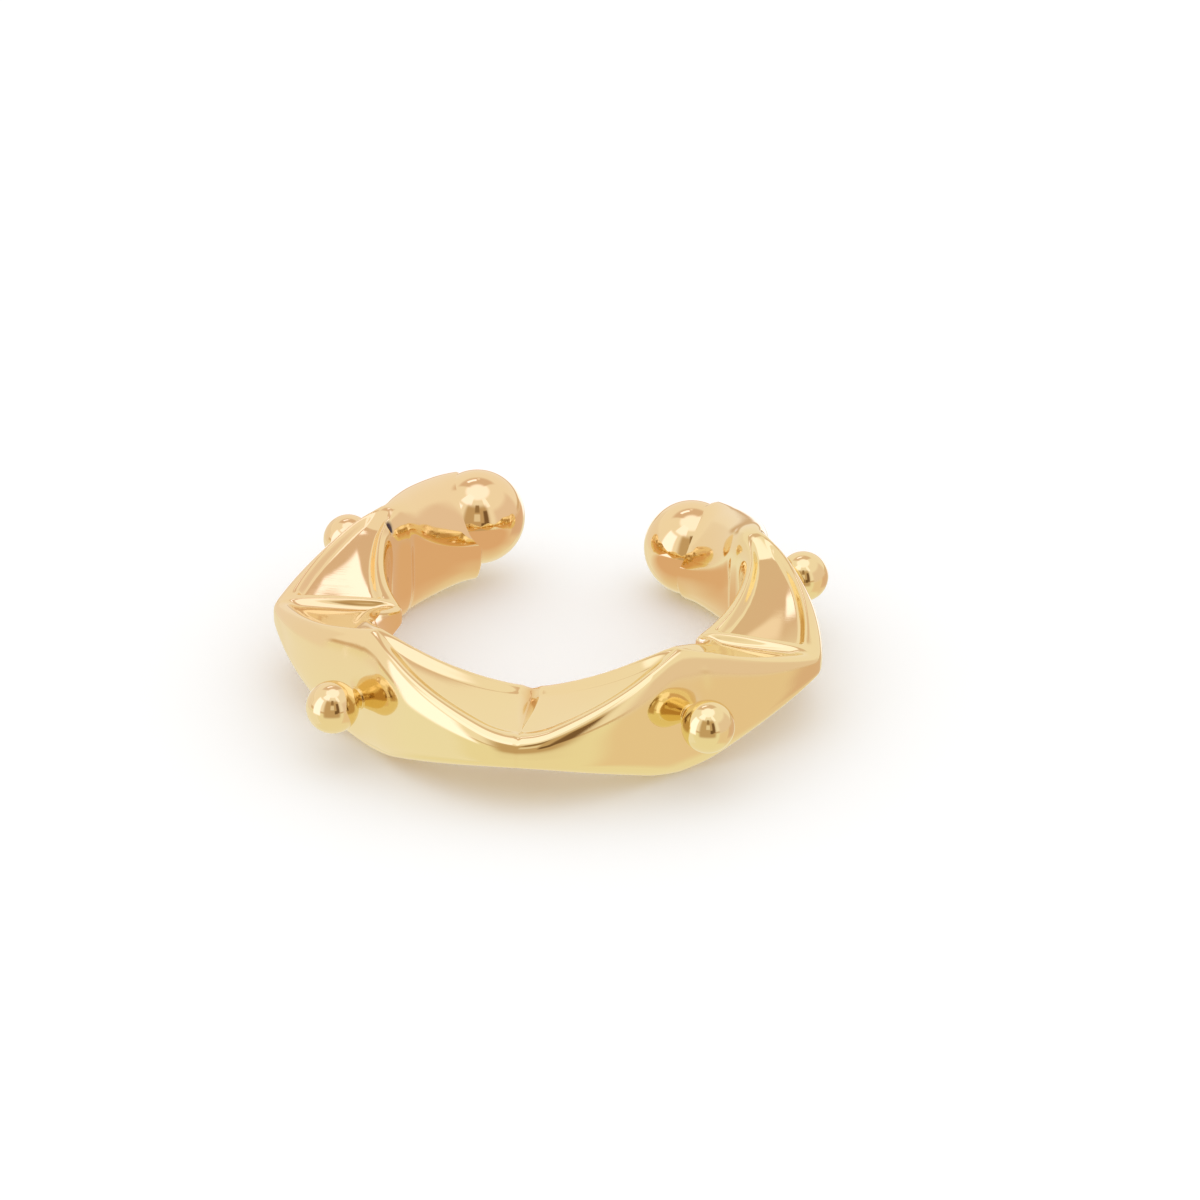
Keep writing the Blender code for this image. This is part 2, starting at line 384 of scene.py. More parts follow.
    def finish(self, geometry: bpy.types.NodeSocket, material: bpy.types.Material) -> None:
        """End a geometry tree with real geometry, smooth faces and one material.

        Args:
            geometry: what the tree has built.
            material: the material that it gets.
        """
        smooth = self.call("GeometryNodeSetShadeSmooth", {"Geometry": geometry})
        real = self.call("GeometryNodeRealizeInstances", {"Geometry": smooth.outputs[0]})
        dressed = self.call("GeometryNodeSetMaterial", {"Geometry": real.outputs[0], "Material": material})
        self.give("Geometry", "NodeSocketGeometry", dressed.outputs[0])


def shown(name: str, mesh: bpy.types.Mesh) -> bpy.types.Object:
    """A new object in the scene.

    Args:
        name: its name.
        mesh: the mesh that it holds.

    Returns:
        The object.
    """
    obj = bpy.data.objects.new(name, mesh)
    bpy.context.scene.collection.objects.link(obj)
    return obj


def points_mesh(name: str, rows: list[dict[str, object]]) -> bpy.types.Mesh:
    """A mesh of loose points, whose values are kept as named attributes.

    Args:
        name: the mesh's name.
        rows: one dict for each point. "place" gives where it is, and the rest are numbers or vectors.

    Returns:
        The mesh.
    """
    mesh = bpy.data.meshes.new(name)
    mesh.from_pydata([row.get("place", (0, 0, 0)) for row in rows], [], [])
    for key in rows[0]:
        if key == "place":
            continue
        many = isinstance(rows[0][key], Vector)
        attribute = mesh.attributes.new(key, "FLOAT_VECTOR" if many else "FLOAT", "POINT")
        for item, row in zip(attribute.data, rows):
            if many:
                item.vector = row[key]
            else:
                item.value = row[key]
    return mesh


def baked(host: bpy.types.Object, tree: bpy.types.NodeTree, values: dict[str, object]) -> bpy.types.Object:
    """Run a geometry tree on an object and keep the result as its plain mesh.

    Args:
        host: the object whose mesh feeds the tree.
        tree: the geometry tree.
        values: values for the tree's named inputs.

    Returns:
        The object, with its new mesh and no modifier.
    """
    modifier = host.modifiers.new(tree.name, "NODES")
    modifier.node_group = tree
    for item in tree.interface.items_tree:
        if item.in_out == "INPUT" and item.name in values:
            modifier[item.identifier] = values[item.name]
    mesh = bpy.data.meshes.new_from_object(host.evaluated_get(bpy.context.evaluated_depsgraph_get()))
    host.modifiers.clear()
    host.data = mesh
    return host


# The band


class Kind(Enum):
    """What a station of the band is."""

    SADDLE = "saddle"
    PEAK = "peak"
    HEEL = "heel"
    END = "end"

    @property
    def tall(self) -> bool:
        """True for the narrow tall stations, which carry a bead and a foot."""
        return self in (Kind.PEAK, Kind.HEEL)


class Side(Enum):
    """A side of the ring, as the sign of its angles."""

    LEFT = 1
    RIGHT = -1


@dataclass(frozen=True)
class Section:
    """The band's section at one kind of station, in metres.

    squareness is 2 for an ellipse and more for a fuller shape. turn is the share of a link that the ridges
    take to turn there.
    """

    radius: float
    width: float
    height: float
    squareness: float
    turn: float


@dataclass(frozen=True)
class Station:
    """One station along the band, with the section's values there."""

    kind: Kind
    angle: float
    radius: float
    half_width: float
    half_height: float
    level: float
    squareness: float
    turn: float
    ledge: float
    lift: float

    def attributes(self) -> dict[str, float]:
        """The values that the band's rule reads at each station.

        Returns:
            Each value under its attribute's name.
        """
        row = {name: value for name, value in asdict(self).items() if name != "kind"}
        return row | {"tall": float(self.kind.tall), "heel": float(self.kind is Kind.HEEL),
                      "end": float(self.kind is Kind.END)}

    def at(self, radius: float, level: float) -> Vector:
        """Place of a radius and a level at this station's angle."""
        return Vector((-math.sin(self.angle) * radius, math.cos(self.angle) * radius, level))


@dataclass(frozen=True)
class Pit:
    """A tiny tool pit on top of the band.

    along is in links from the left end, and across goes from -1 on the inner side to 1 on the outer one.
    """

    along: float
    across: float


@dataclass(frozen=True)
class Skin:
    """The numbers of the skin's rule, each an input of its geometry tree. Lengths are in metres.

    Pans lie between rims, deep beside the heels and shallow as leaves elsewhere. A step leads down from the
    raised base of a pan, a valley is the fold between two leaves, and a seat swells under a bead's neck.
    """

    steps_per_link: int = 54
    points_around: int = 208
    crowding: float = 0.6
    outer_keenness: float = 0.55
    link_squareness: float = 0.6
    link_slimness: float = 0.04
    rim_sharpness: float = 4.0
    arm_lean: float = 0.24
    arm_hollow: float = 0.00014
    arm_hollow_wall: float = 0.6
    arm_hollow_side: float = 0.8
    arm_hollow_brow: float = -0.3
    arm_hollow_climb: float = 0.9
    arm_hollow_stop: float = 0.9
    arm_hollow_fade: float = 0.12
    pan_depth: float = 0.00026
    pan_rim: float = 0.00024
    pan_rim_at_base: float = 0.00022
    pan_wall: float = 0.00026
    pan_bowl: float = 0.00012
    pan_base: float = 0.00012
    pan_fade: float = 0.80
    leaf_depth: float = 0.00014
    leaf_wall: float = 0.00050
    step_depth: float = 0.00013
    step_wall: float = 0.00012
    step_reach: float = 0.00110
    valley_depth: float = 0.00024
    valley_width: float = 0.00034
    valley_outer_share: float = 0.2
    valley_blend: float = 0.7
    valley_notch: float = 0.00006
    notch_keenness: float = 3.0
    seat_rise: float = 0.00016
    seat_spread: float = 0.00055
    face_hollow: float = 0.00003
    face_start: float = 0.5
    foot_level: float = 0.00004
    dome_share: float = 0.06
    dome_reach: float = 0.00030
    pit_radius: float = 0.00013
    pit_depth: float = 0.00012
    pit_steepness: float = 1.6
    ripple: float = 0.000006
    ripple_scale: float = 700.0


@dataclass(frozen=True)
class Spot:
    """A point of the skin within its link, as fields. across and up go from -1 to 1 over the section."""

    given: SimpleNamespace
    before: dict[str, Field]
    after: dict[str, Field]
    along: Field
    to_peak: Field
    across: Field
    up: Field
    radius: Field
    half_width: Field

    def either(self, name: str) -> Field:
        """The larger value of the stations before and after."""
        return self.before[name].at_least(self.after[name])

    def plain(self) -> Field:
        """1 on the links between stations of the chain, and 0 on the arms."""
        return 1 - self.either("end")

    def length(self) -> Field:
        """Length of the link, at the middle of its section."""
        return (self.after["angle"] - self.before["angle"]).size() * self.radius

    def inward(self) -> Field:
        """1 on the inner side, less on the outer one, where the folds of the saddles run out."""
        blend, outer = self.given.valley_blend, self.given.valley_outer_share
        return outer + ((blend - self.across) / (blend * 2)).smoothed() * (1 - outer)

    def crease(self) -> Field:
        """1 in the fold of a valley, and down to 0 beside it.

        Returns:
            The share of the fold's depth.
        """
        inward = self.inward()
        near = 1 - self.to_peak * self.length() / (self.given.valley_width * inward)
        return near.at_least(0.0) * inward * (1 - self.either("ledge")) * self.plain()

    def pan(self) -> Field:
        """Depth of the pan inside its rim. It is deeper beside a heel, and fades out towards the peak.

        Returns:
            The depth, in metres.
        """
        given, to_peak, heel = self.given, self.to_peak, self.either("heel")
        rim = given.pan_rim + given.pan_rim_at_base * heel * (1 - to_peak) * (1 - to_peak)
        from_side = self.half_width * (1 - self.across.size()) - rim
        within = (from_side / given.leaf_wall.mixed(given.pan_wall, heel)).smoothed()
        fade = 1 - ((to_peak - given.pan_fade) / (1 - given.pan_fade)).smoothed()
        bowl = (1 - self.across * self.across).at_least(0.0) * 4 * to_peak * (1 - to_peak)
        return (given.leaf_depth.mixed(given.pan_depth, heel) * fade + given.pan_bowl * bowl) * within

    def sunk(self) -> Field:
        """Depth of the valley, the step and the pan under the plain section.

        Returns:
            The depth, in metres.
        """
        given, heel, ledge = self.given, self.either("heel"), self.either("ledge")
        from_base = self.to_peak * self.length()
        step = (from_base / given.step_wall).smoothed() * (1 - (from_base / given.step_reach).smoothed())
        step = given.step_depth * step * self.inward() * ledge * (1 - heel)
        past_base = ((from_base - given.pan_base * heel) / given.pan_wall).smoothed()
        pan = self.pan() * (1 - ledge * (1 - past_base))
        return given.valley_depth * self.crease() + self.plain() * (step + pan)

    def seat(self, height: Field) -> Field:
        """How far the outer face swells round the foot of a bead's neck.

        Args:
            height: the point's height over the middle of the section.

        Returns:
            The swelling, in metres.
        """
        given = self.given
        from_peak = (1 - self.to_peak) * self.length()
        from_bead = height - self.before["lift"] - self.after["lift"]
        off = 1 + (from_peak * from_peak + from_bead * from_bead) / (given.seat_spread * given.seat_spread)
        return given.seat_rise * self.across.at_least(0.0) ** 2.0 * self.either("tall") / (off * off)

    def face(self) -> Field:
        """How far the two side faces of a peak are hollowed.

        Returns:
            The hollow, in metres, the same way as across.
        """
        given = self.given
        middle = (1 - self.up * self.up).at_least(0.0) ** 2.0
        near = (self.to_peak - given.face_start).at_least(0.0) / (1 - given.face_start)
        near = (near * (math.pi / 2)).sin() ** 2.0
        return self.across.signed_power(given.rim_sharpness) * given.face_hollow * near * middle

    def armpit(self) -> Field:
        """1 in the hollow along the inner side of an arm, under its brow, and 0 elsewhere.

        Returns:
            The share of the hollow's depth.
        """
        given = self.given
        brow = self.to_peak * self.to_peak * given.arm_hollow_climb + given.arm_hollow_brow
        under = ((brow - self.up) / given.arm_hollow_wall + 0.5).smoothed()
        inner = (-self.across / given.arm_hollow_side).smoothed()
        clear = ((given.arm_hollow_stop - self.to_peak) / given.arm_hollow_fade).smoothed()
        return under * inner * clear * self.either("end")

    def pit(self, place: Field, link_angle: float) -> Field:
        """1 in a tool pit, and down to 0 round it.

        Args:
            place: the pit's links along and its place across, as a vector.
            link_angle: the angle of one link.

        Returns:
            The share of the pit's depth.
        """
        along, across, _ = place.graph.parts(place)
        off_along = (self.along - along) * link_angle * self.radius
        off_across = (self.across - across) * self.half_width
        off = (off_along * off_along + off_across * off_across) ** 0.5
        on_top = (-self.up).below(0.0)
        return ((1 - off / self.given.pit_radius) * self.given.pit_steepness).smoothed() * on_top


@dataclass
class Band:
    """The C-shaped body: stations, and the skin that is drawn between them. Lengths are in metres."""

    inner_radius: float = 0.00410
    saddle_width: float = 0.00350
    saddle_thickness: float = 0.00098
    peak_radius: float = 0.00600
    peak_thickness: float = 0.00118
    peak_height: float = 0.00360
    link_angle: float = math.radians(40.6)
    end_angle: float = math.radians(26.4)
    arm_thickness: float = 0.00250
    arm_height: float = 0.00275
    arm_shortfall: float = math.radians(3)
    end_radius: float = 0.00690
    end_level: float = 0.00166
    end_stagger: float = 0.00026
    ledge_turn: float = 0.07
    pits: tuple[Pit, ...] = (Pit(1.12, -0.66), Pit(7.05, 0.53))
    skin: Skin = Skin()

    def level_of_end(self, side: Side) -> float:
        """Level of an end ball's middle: the left one stands a little higher than the right one."""
        return self.end_level + side.value * self.end_stagger

    def sections(self) -> dict[Kind, Section]:
        """The sections that the band goes through.

        Returns:
            The section of each kind of station.
        """
        saddle_radius = self.inner_radius + self.saddle_width / 2
        peak = (self.peak_radius, self.peak_thickness, self.peak_height)
        return {
            Kind.SADDLE: Section(
                saddle_radius, self.saddle_width, self.saddle_thickness, squareness=3.6, turn=0.18),
            Kind.PEAK: Section(*peak, squareness=2.5, turn=0.28),
            Kind.HEEL: Section(*peak, squareness=2.6, turn=0.28),
            Kind.END: Section(
                self.end_radius, self.arm_thickness, self.arm_height, squareness=2.2, turn=0.20),
        }

    def stations(self) -> list[Station]:
        """The stations of the casting, which is a little uneven.

        Returns:
            The stations from the left end round to the right one.
        """
        left, right = Side.LEFT, Side.RIGHT
        # Kind, side, links from the front, then width, height and level as shares of the kind's own, ledge
        # and lift. Ledge is 1 where a pan's raised base crosses the saddle, and 0 where the pans run into
        # each other. Lift is how far the bead stands above the face's middle, in heights of the peak.
        table = [
            (Kind.END, left, None, 1.00, 1.04, 0.88, 0, 0),
            (Kind.HEEL, left, 3.00, 1.06, 0.96, 0.96, 0, 0.08),
            (Kind.SADDLE, left, 2.10, 1.00, 1.00, 1.03, 1, 0),
            (Kind.PEAK, left, 1.04, 1.00, 0.97, 0.97, 0, -0.02),
            (Kind.SADDLE, right, 0.03, 1.00, 1.12, 0.93, 0, 0),
            (Kind.PEAK, right, 1.01, 1.00, 1.00, 1.00, 0, 0.04),
            (Kind.SADDLE, right, 1.92, 1.00, 1.00, 1.03, 1, 0),
            (Kind.HEEL, right, 2.97, 1.06, 0.96, 0.96, 0, 0.04),
            (Kind.END, right, None, 1.00, 0.96, 1.00, 0, 0),
        ]
        rows = []
        for kind, side, links, width, height, level, ledge, lift in table:
            section = self.sections()[kind]
            if kind is Kind.END:
                angle = side.value * (self.end_angle + self.arm_shortfall) % (2 * math.pi)
                middle = self.level_of_end(side) * level
            else:
                angle = math.pi - side.value * links * self.link_angle
                middle = self.peak_height / 2 * level
            rows.append(Station(
                kind, angle, section.radius, section.width / 2 * width, section.height / 2 * height, middle,
                section.squareness, self.ledge_turn if ledge else section.turn, float(ledge),
                lift * self.peak_height))
        return rows

    @staticmethod
    def eased(share: Field, start: Field, stop: Field) -> Field:
        """Share of the way between two stations: level over each turn, straight between them.

        Args:
            share: share of the link.
            start: share of it that the first station's turn takes.
            stop: share of it that the last station's turn takes.

        Returns:
            The share of the way.
        """
        slope = 1 / (1 - start / 2 - stop / 2)
        rest = 1 - share
        leaving = slope * share * share / (start * 2)
        arriving = 1 - slope * rest * rest / (stop * 2)
        amount = (slope * (share - start / 2)).mixed(leaving, share.below(start))
        return amount.mixed(arriving, rest.below(stop))

    def sampled(self, graph: Graph, index: Field) -> dict[str, Field]:
        """The values of one station.

        Args:
            graph: the geometry graph, with the stations as an input.
            index: the station's number.

        Returns:
            A field for each value, by name.
        """
        values = {}
        for name in self.stations()[0].attributes():
            kept = graph.call("GeometryNodeInputNamedAttribute", {"Name": name}, data_type="FLOAT").outputs[0]
            values[name] = Field(graph, graph.call("GeometryNodeSampleIndex", {
                "Geometry": graph.given.stations, "Value": kept, "Index": index}).outputs[0])
        return values

    def rule(self, graph: Graph, along: Field, turn: Field) -> dict[str, Field]:
        """The skin's rule: where a point is, from how far along the band and how far round the section it is.

        Args:
            graph: the geometry graph.
            along: links from the left end.
            turn: angle round the section, from its outer side.

        Returns:
            The fields angle, radius, level, middle_radius, middle_level, crease and pit.
        """
        given = graph.given
        link = along.at_most(len(self.stations()) - 1 - LAST_LINK_MARGIN).floor()
        share = along - link
        share = share - (share * (2 * math.pi)).sin() * given.crowding / (2 * math.pi)
        before, after = self.sampled(graph, link), self.sampled(graph, link + 1)
        amount = self.eased(share, before["turn"], after["turn"])
        mix = {name: before[name].mixed(after[name], amount) for name in before}

        keen_turns = [end["turn"] * (1 - end["tall"] * given.outer_keenness) for end in (before, after)]
        outsides = [end["radius"] + end["half_width"] for end in (before, after)]
        outside = outsides[0].mixed(outsides[1], self.eased(share, *keen_turns))
        inside = mix["radius"] - mix["half_width"]
        midway = 4 * share * (1 - share) * (1 - before["end"].at_least(after["end"]))
        slim = 1 - given.link_slimness * midway
        radius, half_width = (outside + inside) / 2, (outside - inside) / 2 * slim
        square = mix["squareness"] + given.link_squareness * midway
        spread = (turn.cos().size() ** square + turn.sin().size() ** square) ** (1 / square)
        spot = Spot(given, before, after, link + share, share.mixed(1 - share, before["tall"]),
                    turn.cos() / spread, turn.sin() / spread, radius, half_width)

        pit = reduce(Field.at_least, [spot.pit(getattr(given, f"pit_{number}"), self.link_angle)
                                      for number in range(1, len(self.pits) + 1)])
        crease = spot.crease()
        height = spot.up * mix["half_height"] * slim - spot.up.signed_power(given.rim_sharpness) * spot.sunk()
        notch = given.valley_notch * (-spot.across).at_least(0.0) ** given.notch_keenness * crease
        reach = spot.across * half_width - spot.face() + spot.seat(height) + notch
        reach = reach + given.arm_lean * mix["end"] * height + given.arm_hollow * spot.armpit()
        return {
            "angle": before["angle"].mixed(after["angle"], share),
            "radius": radius + reach,
            "level": mix["level"] + height - given.pit_depth * pit,
            "middle_radius": radius,
            "middle_level": mix["level"],
            "crease": crease,
            "pit": pit,
        }

    def inputs(self) -> dict[str, object]:
        """The values of the tree's named inputs, apart from the stations themselves."""
        pits = {f"Pit {number}": (pit.along, pit.across, 0.0) for number, pit in enumerate(self.pits, 1)}
        return {"Links": len(self.stations()) - 1} | tree_inputs(self.skin) | pits

    def tree(self, gold: bpy.types.Material) -> bpy.types.NodeTree:
        """The geometry tree that draws the skin over the stations.

        Args:
            gold: the material that the skin gets.

        Returns:
            The tree. Its input geometry is the stations' points.
        """
        graph = Graph.with_inputs("GeometryNodeTree", "band_skin", {"Stations": None} | self.inputs())
        given = graph.given
        length = given.links + given.dome_share * 2
        sheet = graph.sheet(length, length * given.steps_per_link, given.points_around)
        x, y, _ = graph.position()
        along = x + given.links / 2
        inside = along.at_least(0.0).at_most(given.links)
        skin = self.rule(graph, inside, y + math.pi)

        climb = (along - inside) / given.dome_share * (math.pi / 2)
        shrink = climb.cos()
        radius = skin["middle_radius"].mixed(skin["radius"], shrink)
        level = skin["middle_level"].mixed(skin["level"], shrink).at_least(given.foot_level)
        sine, cosine, onward = skin["angle"].sin(), skin["angle"].cos(), climb.sin() * given.dome_reach
        place = graph.vector(-sine * radius - cosine * onward, cosine * radius - sine * onward, level)

        # The crease share goes to the gold, which paints shade and dulls the polish in the folds; the pit
        # share darkens and dulls the pits
        for name in ("crease", "pit"):
            sheet = graph.kept(sheet, name, skin[name])
        graph.finish(graph.rippled(graph.rolled(sheet, place), given.ripple, given.ripple_scale), gold)
        return graph.tree

    def build(self, gold: bpy.types.Material) -> bpy.types.Object:
        """Draw the band.

        Args:
            gold: the material that it gets.

        Returns:
            The band's object, round the ring's own axis.
        """
        rows = [station.attributes() for station in self.stations()]
        return baked(shown("band", points_mesh("band_stations", rows)), self.tree(gold), self.inputs())


# Beads and balls


@dataclass
class BeadStuds:
    """A bead on a short waisted neck on the outer side of each peak. Lengths are in metres.

    Each field is an input of the geometry tree. neck_share is the share of the sheet that makes the neck.
    """

    bead_diameter: float = 0.00140
    neck_diameter: float = 0.00036
    neck_length: float = 0.00004
    neck_root: float = 0.00010
    neck_flare: float = 0.00008
    flare_keenness: float = 4.0
    foot_spread: float = 0.00014
    foot_keenness: float = 2.5
    neck_share: float = 0.25
    steps: int = 120
    around: int = 128

    def tree(self, gold: bpy.types.Material) -> bpy.types.NodeTree:
        """The geometry tree that turns one stud and sets it on each seat.

        Args:
            gold: the material that the studs get.

        Returns:
            The tree. Its input geometry is the seats' points.
        """
        graph = Graph.with_inputs("GeometryNodeTree", "bead_studs", {"Seats": None} | tree_inputs(self))
        given = graph.given
        bead, neck = given.bead_diameter / 2, given.neck_diameter / 2
        base = graph.math("ARCSINE", (neck + given.neck_flare) / bead)
        sheet = graph.sheet(1.0, given.steps, given.around)
        x, turn, _ = graph.position()
        share = x + 0.5
        on_neck = (share / given.neck_share).at_most(1.0)
        on_bead = ((share - given.neck_share) / (1 - given.neck_share)).at_least(0.0)

        centre = given.neck_length + bead
        neck_top = centre - base.cos() * bead
        neck_along = on_neck * (neck_top + given.neck_root) - given.neck_root
        flare = (neck_along / neck_top).at_least(0.0) ** given.flare_keenness
        foot = (1 - neck_along / neck_top).at_most(1.0) ** given.foot_keenness
        neck_radius = neck + given.neck_flare * flare + given.foot_spread * foot
        climb = base + on_bead * (math.pi - base)
        is_neck = share.below(given.neck_share)
        along = (centre - climb.cos() * bead).mixed(neck_along, is_neck)
        radius = (climb.sin() * bead).mixed(neck_radius, is_neck)
        stud = graph.rolled(sheet, graph.vector(turn.cos() * radius, turn.sin() * radius, along))

        outward = graph.call("GeometryNodeInputNamedAttribute", {"Name": "outward"}, data_type="FLOAT_VECTOR")
        turned = graph.call("FunctionNodeAlignRotationToVector", {"Vector": outward.outputs[0]}, axis="Z")
        set_out = graph.call("GeometryNodeInstanceOnPoints", {
            "Points": given.seats, "Instance": stud, "Rotation": turned.outputs[0]})
        graph.finish(set_out.outputs[0], gold)
        return graph.tree

    def build(self, band: Band, gold: bpy.types.Material) -> bpy.types.Object:
        """Set the studs on the band.

        Args:
            band: the band that they stand on.
            gold: the material that they get.

        Returns:
            The studs' object, round the ring's own axis.
        """
        seats = []
        for station in band.stations():
            if station.kind.tall:
                face = station.radius + station.half_width - band.skin.face_hollow + band.skin.seat_rise
                seats.append({"place": station.at(face, station.level + station.lift),
                              "outward": station.at(1.0, 0.0)})
        host = shown("bead_studs", points_mesh("bead_seats", seats))
        return baked(host, self.tree(gold), tree_inputs(self))


@dataclass
class EndBall:
    """The ball that closes an arm. Lengths are in metres."""

    side: Side
    diameter: float = 0.00270
    around: int = 192

    def build(self, band: Band, gold: bpy.types.Material) -> bpy.types.Object:
        """Turn the ball.

        Args:
            band: the band whose arm it closes.
            gold: the material that it gets.

        Returns:
            The ball's object, round the ring's own axis.
        """
        angle = self.side.value * band.end_angle
        middle = Vector((-math.sin(angle) * band.end_radius, math.cos(angle) * band.end_radius,
                         band.level_of_end(self.side)))
        along = Vector((math.cos(angle), math.sin(angle), 0)).to_track_quat("Z", "Y").to_matrix().to_4x4()
        bm = bmesh.new()
        bmesh.ops.create_uvsphere(
            bm, u_segments=self.around, v_segments=self.around // 2, radius=self.diameter / 2,
            matrix=Matrix.Translation(middle) @ along)
        mesh = bpy.data.meshes.new("end_ball")
        bm.to_mesh(mesh)
        bm.free()
        mesh.materials.append(gold)
        mesh.shade_smooth()
        return shown(f"end_ball_{self.side.name.lower()}", mesh)


# Finish


@dataclass(frozen=True)
class ToneDrift:
    """Colour of the gold: it drifts from one tone to another, is darkened in creases by painted shade and is
    dark in pits.

    Each field is an input of the group. lean is how fast the tone warms along the diagonal, for each metre.
    """

    yellow: tuple[float, float, float, float] = (0.906, 0.776, 0.426, 1.0)
    warm: tuple[float, float, float, float] = (0.912, 0.725, 0.419, 1.0)
    # Painted shade for the valleys' folds: a deeper, darker gold that stands in for the gold round them
    # mirrored there
    crease_tone: tuple[float, float, float, float] = (0.771, 0.487, 0.188, 1.0)
    tarnish: tuple[float, float, float, float] = (0.10, 0.075, 0.085, 1.0)
    drift_scale: float = 260.0
    drift_strength: float = 1.6
    middle: float = 0.45
    lean: float = 55.0
    crease_share: float = 0.75
    crease_keenness: float = 1.5
    tarnish_reach: float = 1.5

    def group(self) -> bpy.types.NodeTree:
        """The shader group.

        Returns:
            The group, with the output Color.
        """
        graph = Graph.with_inputs("ShaderNodeTree", "tone_drift", tree_inputs(self))
        given = graph.given
        place = graph.node("ShaderNodeTexCoord").outputs["Object"]
        x, y, _ = graph.parts(place)
        drift = graph.noise(vector=place, scale=given.drift_scale, detail=2.0, roughness=0.5)
        warmth = (drift - 0.5) * given.drift_strength + given.middle + (y - x) * given.lean
        # Painted shade: the share of the darker crease colour that each valley's fold gets
        crease = graph.attribute("crease").at_most(1.0) ** given.crease_keenness * given.crease_share
        pit = (graph.attribute("pit") * given.tarnish_reach).at_most(1.0)
        mixed = graph.colour_mix(given.yellow, given.warm, warmth.at_least(0.0).at_most(1.0))
        mixed = graph.colour_mix(mixed, given.crease_tone, crease)
        graph.give("Color", "NodeSocketColor", graph.colour_mix(mixed, given.tarnish, pit))
        return graph.tree


@dataclass(frozen=True)
class PolishMarks:
    """How the polish varies: a cloudy buffed sheen, hair-fine buffing lines, and dull creases and pits.

    Each field is an input of the group. start and span say where a cloud or a line sets in.
    """

    sheen: float = 0.045
    cloud: float = 0.030
    cloud_scale: float = 900.0
    cloud_start: float = 0.35
    cloud_span: float = 0.3
    cloud_height: float = 0.15
    line_scale: float = 5200.0
    line_stretch: tuple[float, float, float] = (0.06, 1.0, 0.35)
    line_width: float = 0.03
    line_start: float = 0.45
    line_span: float = 0.2
    line_depth: float = 0.35
    line_dull: float = 0.03
    crease_dull: float = 0.03
    pit_dull: float = 0.40

    def group(self) -> bpy.types.NodeTree:
        """The shader group.

        Returns:
            The group, with the outputs Roughness and Height.
        """
        graph = Graph.with_inputs("ShaderNodeTree", "polish_marks", tree_inputs(self))
        given = graph.given
        place = graph.node("ShaderNodeTexCoord").outputs["Object"]
        cloud = graph.noise(vector=place, scale=given.cloud_scale, detail=3.0, roughness=0.55)
        hairs = []
        for turn in LINE_TURNS:
            stretched = graph.call("ShaderNodeMapping", {
                "Vector": place, "Rotation": (turn, turn / 2, turn), "Scale": given.line_stretch}).outputs[0]
            noise = graph.noise(vector=stretched, scale=given.line_scale, detail=1.0)
            hairs.append((1 - (noise - 0.5).size() / given.line_width).smoothed())
        lines = hairs[0].at_least(hairs[1]) * ((cloud - given.line_start) / given.line_span).smoothed()
        clouded = ((cloud - given.cloud_start) / given.cloud_span).smoothed()
        crease, pit = graph.attribute("crease"), graph.attribute("pit")
        roughness = given.sheen + given.cloud * clouded + lines * given.line_dull
        roughness = roughness + crease * given.crease_dull + pit * given.pit_dull
        graph.give("Roughness", "NodeSocketFloat", roughness)
        graph.give("Height", "NodeSocketFloat", 1 - lines * given.line_depth + cloud * given.cloud_height)
        return graph.tree


@dataclass(frozen=True)
class PolishedGold:
    """Mirror-polished gold plate, for one kind of piece. marks_height is in metres."""

    name: str
    sheen: float
    line_depth: float
    marks_height: float = 0.0000006

    def build(self, tone: bpy.types.NodeTree, marks: bpy.types.NodeTree) -> bpy.types.Material:
        """The material.

        Args:
            tone: the group that gives the colour, with painted shade in the creases.
            marks: the group that gives roughness and height.

        Returns:
            The material.
        """
        material = bpy.data.materials.new(self.name)
        material.use_nodes = True
        graph = Graph(material.node_tree)
        shader = material.node_tree.nodes["Principled BSDF"]
        shader.inputs["Metallic"].default_value = 1.0
        colour = graph.call("ShaderNodeGroup", {}, node_tree=tone).outputs["Color"]
        polish = graph.call("ShaderNodeGroup", {}, node_tree=marks)
        polish.inputs["Sheen"].default_value = self.sheen
        polish.inputs["Line Depth"].default_value = self.line_depth
        height = {"Height": polish.outputs["Height"], "Distance": self.marks_height}
        bump = graph.call("ShaderNodeBump", height)
        graph.feed(shader.inputs["Base Color"], colour)
        graph.feed(shader.inputs["Roughness"], polish.outputs["Roughness"])
        graph.feed(shader.inputs["Normal"], bump.outputs[0])
        return material


# Studio


def glowing(name: str, points: list[tuple[float, float, float]], faces: list[tuple[int, ...]],
            fades: list[float], colour: tuple[float, float, float],
            material: bpy.types.Material) -> bpy.types.Object:
    """A glowing shape of the studio that only the gold's mirror shows.

    Args:
        name: the shape's name.
        points: its corners.
        faces: its faces.
        fades: how opaque each corner is.
        colour: its light.
        material: its glow.

    Returns:
        The shape's object.
    """
    mesh = bpy.data.meshes.new(name)
    mesh.from_pydata(points, [], faces)
    mesh.attributes.new("fade", "FLOAT", "POINT").data.foreach_set("value", fades)
    glow = mesh.attributes.new("glow", "FLOAT_VECTOR", "POINT")
    glow.data.foreach_set("vector", [value for _ in points for value in colour])
    mesh.materials.append(material)
    card = shown(name, mesh)
    card.visible_camera = card.visible_diffuse = card.visible_transmission = card.visible_shadow = False
    return card


